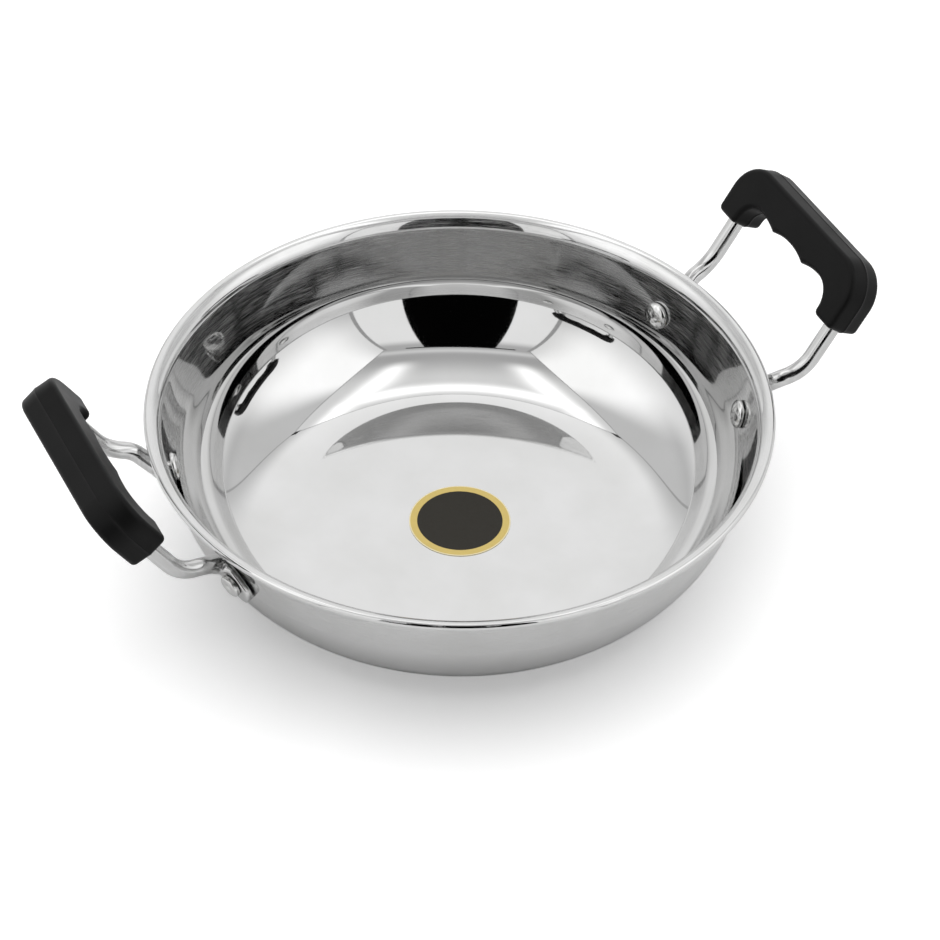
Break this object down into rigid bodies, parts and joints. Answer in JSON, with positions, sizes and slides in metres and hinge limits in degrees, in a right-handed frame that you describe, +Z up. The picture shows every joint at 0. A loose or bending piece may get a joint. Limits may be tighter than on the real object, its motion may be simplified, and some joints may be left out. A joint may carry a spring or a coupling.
{
  "type": "two-handled pan",
  "caption": "Wide drawn stainless steel pan with a flared lip, near-upright neck and flat floor, carried by riveted rod handles with black moulded grips.",
  "frame": {"origin": "centre of the underside, on the plane the pan stands on", "axes": "+X from handle to handle, +Y across the pan to its back, +Z up"},
  "size_m": [0.339, 0.252, 0.1073],
  "materials": {
    "bowl_steel": "mirror-polished drawn stainless steel",
    "rod_steel": "polished round steel rod with flattened ends",
    "rivet_steel": "polished steel rivet",
    "grip_black": "satin black moulded phenolic",
    "label_face": "thin round adhesive label, black with a gold ring, unprinted"
  },
  "bodies": {
    "root": {"pan_body": "bowl_steel", "handle_rod_right": "rod_steel", "handle_rod_left": "rod_steel", "handle_grip_right": "grip_black", "handle_grip_left": "grip_black", "rivet_right_back": "rivet_steel", "rivet_right_front": "rivet_steel", "rivet_left_back": "rivet_steel", "rivet_left_front": "rivet_steel", "label_disc": "label_face"}
  },
  "joints": []
}
